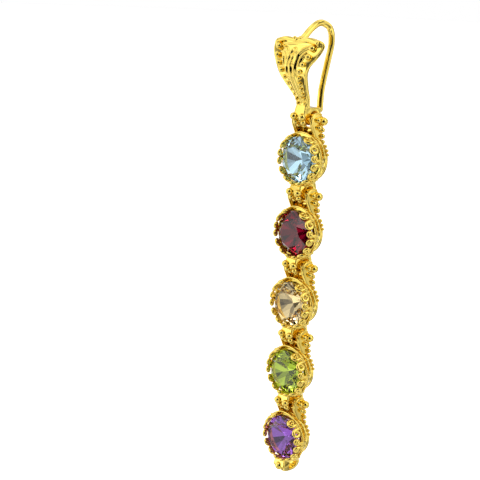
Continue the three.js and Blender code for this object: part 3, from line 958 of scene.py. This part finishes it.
# The small leaves beside the ribs and the arch over the middle rib, through places across and down
FAN_LEAVES = [
    {"places": [(0.07, 0.4), (0.17, 0.27), (0.34, 0.17), (0.56, 0.12)], "thick": 0.21},
    {"places": [(0.3, 0.4), (0.36, 0.28), (0.5, 0.2)], "thick": 0.15},
]
FAN_ARCH = [(-0.11, 0.4), (-0.12, 0.3), (-0.08, 0.2), (0, 0.165), (0.08, 0.2), (0.12, 0.3), (0.11, 0.4)]


def fan_ribs(ornament):
    """Leaf ribs that converge downwards, with leaves that spread to the lobes."""
    for rib in FAN_RIBS:
        path, radii = [], []
        for i in range(FAN_RIB_STEPS + 1):
            share = i / FAN_RIB_STEPS
            down = rib["start"] + (rib["end"] - rib["start"]) * share
            across = FAN_HALF_WIDTH * (rib["top"] + (rib["foot"] - rib["top"]) * share ** 0.5)
            path.append(fan_place(across, down, 0.02))
            radii.append(rib["thick"] * (0.3 + 0.7 * math.sin(math.pi * (0.1 + 0.8 * share)) ** 0.8))
        ornament.line(path, radii)
    for leaf in FAN_LEAVES:
        for side in (-1, 1):
            half = side * FAN_HALF_WIDTH
            path = smooth_path([fan_place(across * half, down, 0.04) for across, down in leaf["places"]], 8)
            shares = np.linspace(0, math.pi, len(path))
            ornament.line(path, [leaf["thick"] * (0.35 + 0.65 * math.sin(share)) for share in shares])
    arch = [fan_place(across * FAN_HALF_WIDTH, down, 0.1) for across, down in FAN_ARCH]
    ornament.line(smooth_path(arch, 6), FAN_ARCH_WIRE)


# The columns of granules on the fan: where they start and end, how they shrink and how close they follow
FAN_GRANULE_START = 0.14
FAN_GRANULE_END = 0.99
FAN_GRANULE_SHRINK = 0.925
FAN_GRANULE_SPACING = 1.28


def fan_granules(ornament, size):
    """Two columns of granules that shrink downwards."""
    columns = [row["down"] for row in FAN_SECTIONS], [row["granule"] for row in FAN_SECTIONS]
    for side in (-1, 1):
        down = FAN_GRANULE_START
        radius = size["fan_granule"]
        while down < FAN_GRANULE_END:
            across = side * float(fan_half(down) * np.interp(down, *columns))
            ornament.granule(fan_place(across, down, 0.04), radius)
            following = radius * FAN_GRANULE_SHRINK
            down += FAN_GRANULE_SPACING * (radius + following) / FAN_HEIGHT
            radius = following


# Places that the ear wire passes through, back and up from the inside of its top
WIRE_PLACES = [
    (-3.65, -1.7),
    (-2.99, -1.21),
    (-1.97, -0.32),
    (-0.91, 0.3),
    (0.0, 0.43),
    (1.23, 0.0),
    (1.79, -0.81),
    (1.92, -1.76),
    (1.86, -2.63),
    (1.47, -4.14),
    (1.14, -5.49),
    (0.84, -6.73),
    (0.57, -8.28),
    (0.5, -10.35),
]

# The granules round the foot of the wire, counted from it, and how much thicker than the wire its foot is
COLLAR_PLACES = [(0, -0.75, 0.1), (-0.5, -0.6, 0.22), (0.5, -0.6, 0.22)]
COLLAR_GRANULE = 0.28
COLLAR_SWELL = 0.12


def ear_wire(ornament, size):
    """The ear wire: it rises from the top of the fan, passes over the ear and falls to its tail."""
    radius = size["ear_wire"]
    path = smooth_path([Vector((0, y, z)) for y, z in WIRE_PLACES], 8)
    ornament.line(path, radius)
    ornament.granule(path[-1], radius)
    foot = Vector((0, *WIRE_PLACES[0]))
    ornament.granule(foot, radius + COLLAR_SWELL)
    for place in COLLAR_PLACES:
        ornament.granule(foot + Vector(place), COLLAR_GRANULE)


class EARRING_OT_ear_hook(bpy.types.Operator):
    """Makes the ear wire, the fluted fan with its granules and the bail below it"""

    bl_idname = "earring.ear_hook"
    bl_label = "Make the ear hook"

    def execute(self, context):
        gold = bpy.data.materials["polished_gold"]
        size = sizes()
        shells = Shells()
        ornament = Ornament("hook")
        relief = Ornament("relief")
        fan_plate(shells, relief, gold)
        fan_ribs(relief)
        relief.add_to(shells, gold)
        fan_granules(ornament, size)
        ear_wire(ornament, size)
        rise = BORE_RADIUS + BAIL_FLOOR
        neck_back = FAN_THICKNESS - NECK_FORWARD - PINS[0].y
        top = [(BAIL_BACK - JOIN, rise), (neck_back, rise),
               (neck_back - NECK_BACK_LEAN, rise + NECK_RISE),
               (BAIL_FRONT + NECK_FRONT_LEAN, rise + NECK_RISE)]
        bail(shells, ornament, size, PINS[0], top, False)
        mesh = finished("ear_hook", shells, ornament, size["fineness"], gold)
        placed("ear_hook", mesh, Vector((0, 0, 0)), "hook")
        return {"FINISHED"}


class EARRING_OT_stones(bpy.types.Operator):
    """Gives the cut stones their clear, coloured finish"""

    bl_idname = "earring.stones"
    bl_label = "Finish the stones"

    def execute(self, context):
        for number, slot in enumerate(STONE_LOOKS, 1):
            stone = frame["nodes"][f"stone_{number}"]
            stone.data.materials.clear()
            stone.data.materials.append(cut_stone_material(slot))
        return {"FINISHED"}


class EARRING_OT_gold(bpy.types.Operator):
    """Makes the polished gold that all the metal takes"""

    bl_idname = "earring.gold"
    bl_label = "Make the gold"

    def execute(self, context):
        polished_gold()
        return {"FINISHED"}


# The studio

# The middle of the earring in millimetres, and the pixel that it has in the photograph
MIDDLE = Vector((0, -1.4, -29.8))
PHOTO_WIDTH = 480
PHOTO_MIDDLE = Vector((300.5, 257.0))

# The floor's height and its reach from the middle, in millimetres
FLOOR_HEIGHT = -68.0
FLOOR_REACH = 6000.0

# The soft lights: degrees round the earring and above it, and the distance and size in metres
VEIL_LIGHT = {"azimuth": -43.3, "elevation": -13, "distance": 0.3, "size": 0.24}
KEY_LIGHT = {"azimuth": 25, "elevation": 24, "distance": 0.5, "size": 0.16}
FILL_LIGHT = {"azimuth": 100, "elevation": 40, "distance": 0.5, "size": 0.3}
VEIL_POWER = 0.16
FILL_SHARE = 0.6

# The dark lens: its place on the line to the camera, as a share of the camera's distance, and its corners
LENS_PLACE = 1.1
LENS_CORNERS = 32

# The panels that the gold mirrors: how many there are, and where the dark ones and the light ones begin
PANEL_SCALE = 2.3
PANEL_STEPS = [{"place": 0.38, "light": 0.1}, {"place": 0.62, "light": 1.6}]


def towards(azimuth, elevation):
    """The direction from the earring to a place round and above it."""
    level = math.cos(elevation)
    return Vector((math.sin(azimuth) * level, -math.cos(azimuth) * level, math.sin(elevation)))


def camera_axes(studio):
    """The camera's right, up and backward directions before its roll."""
    right = Vector((math.cos(studio.azimuth), math.sin(studio.azimuth), 0))
    back = towards(studio.azimuth, studio.elevation)
    return right, back.cross(right), back


def make_camera(studio):
    """A camera at the photograph's angle, turned so that the earring stands where it does there."""
    right, up, back = camera_axes(studio)
    roll = Matrix.Rotation(studio.roll, 3, back)
    right, up = roll @ right, roll @ up
    scale = studio.view_width / MM / PHOTO_WIDTH
    aim = MIDDLE + right * (PHOTO_WIDTH / 2 - PHOTO_MIDDLE.x) * scale
    aim += up * (PHOTO_MIDDLE.y - PHOTO_WIDTH / 2) * scale
    place = MIDDLE + back * (studio.distance / MM)
    ahead = (aim - place).normalized()
    side = ahead.cross(up).normalized()
    above = side.cross(ahead)
    data = bpy.data.cameras.new("camera")
    data.sensor_width = 36
    data.lens = data.sensor_width * studio.distance / studio.view_width
    data.clip_start = 0.005
    data.clip_end = 10
    camera = bpy.data.objects.new("camera", data)
    turned = Matrix((side, above, -ahead)).transposed().to_4x4()
    camera.matrix_world = Matrix.Translation(place * MM) @ turned
    bpy.context.scene.collection.objects.link(camera)
    bpy.context.scene.camera = camera


def make_floor(studio):
    """A wide white floor under the earring, which lights it softly from below."""
    material, shader, coordinates = new_material("pale_floor")
    base = Vector(studio.floor)
    tone = tinted(material, noise_of(material, coordinates, 40 * MM, 2), (tuple(base * 0.985), tuple(base)))
    material.node_tree.links.new(tone, shader.inputs["Base Color"])
    shader.inputs["Roughness"].default_value = 0.8
    shader.inputs["Emission Color"].default_value = (1, 1, 1, 1)
    shader.inputs["Emission Strength"].default_value = 0.5
    reach = FLOOR_REACH * MM
    z = FLOOR_HEIGHT * MM
    mesh = bpy.data.meshes.new("floor")
    corners = [(-reach, -reach, z), (reach, -reach, z), (reach, reach, z), (-reach, reach, z)]
    mesh.from_pydata(corners, [], [(0, 1, 2, 3)])
    mesh.materials.append(material)
    floor = bpy.data.objects.new("floor", mesh)
    floor.visible_glossy = False
    floor.visible_transmission = False
    bpy.context.scene.collection.objects.link(floor)


def soft_light(name, row, power):
    """A square soft light that looks at the middle of the earring."""
    back = towards(math.radians(row["azimuth"]), math.radians(row["elevation"]))
    data = bpy.data.lights.new(name, "AREA")
    data.size = row["size"]
    data.energy = power
    light = bpy.data.objects.new(name, data)
    light.visible_camera = False
    light.location = MIDDLE * MM + back * row["distance"]
    light.rotation_mode = "QUATERNION"
    light.rotation_quaternion = back.to_track_quat("Z", "Y")
    bpy.context.scene.collection.objects.link(light)


def make_world():
    """A white surround for the eye, which the gold and the stones see as light and dark panels."""
    world = bpy.data.worlds.new("studio")
    world.use_nodes = True
    tree = world.node_tree
    panels = tree.nodes["Background"]
    plain = tree.nodes.new("ShaderNodeBackground")
    plain.inputs["Color"].default_value = (1, 1, 1, 1)
    direction = tree.nodes.new("ShaderNodeTexCoord").outputs["Generated"]
    noise = tree.nodes.new("ShaderNodeTexNoise")
    noise.inputs["Scale"].default_value = PANEL_SCALE
    noise.inputs["Detail"].default_value = 1.5
    ramp = tree.nodes.new("ShaderNodeValToRGB")
    for element, row in zip(ramp.color_ramp.elements, PANEL_STEPS):
        element.position = row["place"]
        element.color = (row["light"], row["light"], row["light"], 1)
    tree.links.new(direction, noise.inputs["Vector"])
    tree.links.new(noise.outputs["Fac"], ramp.inputs["Fac"])
    tree.links.new(ramp.outputs["Color"], panels.inputs["Color"])
    rays = tree.nodes.new("ShaderNodeLightPath")
    choice = tree.nodes.new("ShaderNodeMixShader")
    tree.links.new(rays.outputs["Is Camera Ray"], choice.inputs["Fac"])
    tree.links.new(panels.outputs["Background"], choice.inputs[1])
    tree.links.new(plain.outputs["Background"], choice.inputs[2])
    tree.links.new(choice.outputs["Shader"], tree.nodes["World Output"].inputs["Surface"])
    bpy.context.scene.world = world


def make_lens(studio):
    """The dark front of the photographer's lens, which only the gold and the stones see."""
    material, shader, _ = new_material("lens")
    shader.inputs["Base Color"].default_value = (0, 0, 0, 1)
    shader.inputs["Specular IOR Level"].default_value = 0
    right, up, back = camera_axes(studio)
    middle = MIDDLE * MM + back * (studio.distance * LENS_PLACE)
    places = [middle + (right * math.cos(a) + up * math.sin(a)) * studio.lens_radius
              for a in np.linspace(0, 2 * math.pi, LENS_CORNERS, endpoint=False)]
    mesh = bpy.data.meshes.new("lens")
    mesh.from_pydata([tuple(place) for place in places], [], [list(range(LENS_CORNERS))])
    mesh.materials.append(material)
    lens = bpy.data.objects.new("lens", mesh)
    lens.visible_camera = False
    lens.visible_diffuse = False
    lens.visible_transmission = False
    lens.visible_shadow = False
    bpy.context.scene.collection.objects.link(lens)


class EARRING_OT_studio(bpy.types.Operator):
    """Makes the camera, the floor, the surround and the soft lights"""

    bl_idname = "earring.studio"
    bl_label = "Make the studio"

    def execute(self, context):
        studio = context.scene.earring_studio
        make_camera(studio)
        make_floor(studio)
        make_world()
        make_lens(studio)
        soft_light("veil", VEIL_LIGHT, VEIL_POWER)
        soft_light("key", KEY_LIGHT, studio.key_power)
        soft_light("fill", FILL_LIGHT, studio.key_power * FILL_SHARE)
        context.scene.view_settings.view_transform = "Standard"
        return {"FINISHED"}


class EARRING_PT_panel(bpy.types.Panel):
    """Sizes, colours and steps of the earring"""

    bl_label = "Earring"
    bl_idname = "EARRING_PT_panel"
    bl_space_type = "VIEW_3D"
    bl_region_type = "UI"
    bl_category = "Earring"

    def draw(self, context):
        layout = self.layout
        scene = context.scene
        for group in (scene.earring_sizes, scene.earring_colours, scene.earring_studio):
            box = layout.box()
            for key in type(group).__annotations__:
                box.prop(group, key)
        for step in STEPS:
            layout.operator(step.bl_idname)


GROUPS = [EarringSizes, EarringColours, EarringStudio]
STEPS = [EARRING_OT_gold, EARRING_OT_ear_hook, EARRING_OT_settings, EARRING_OT_stones, EARRING_OT_studio]


def register():
    for cls in [*GROUPS, *STEPS, EARRING_PT_panel]:
        bpy.utils.register_class(cls)
    bpy.types.Scene.earring_sizes = bpy.props.PointerProperty(type=EarringSizes)
    bpy.types.Scene.earring_colours = bpy.props.PointerProperty(type=EarringColours)
    bpy.types.Scene.earring_studio = bpy.props.PointerProperty(type=EarringStudio)


def unregister():
    del bpy.types.Scene.earring_sizes
    del bpy.types.Scene.earring_colours
    del bpy.types.Scene.earring_studio
    for cls in reversed([*GROUPS, *STEPS, EARRING_PT_panel]):
        bpy.utils.unregister_class(cls)


def main():
    register()
    bpy.ops.earring.gold()
    bpy.ops.earring.ear_hook()
    bpy.ops.earring.settings()
    bpy.ops.earring.stones()
    bpy.ops.earring.studio()


if __name__ == "__main__":
    main()
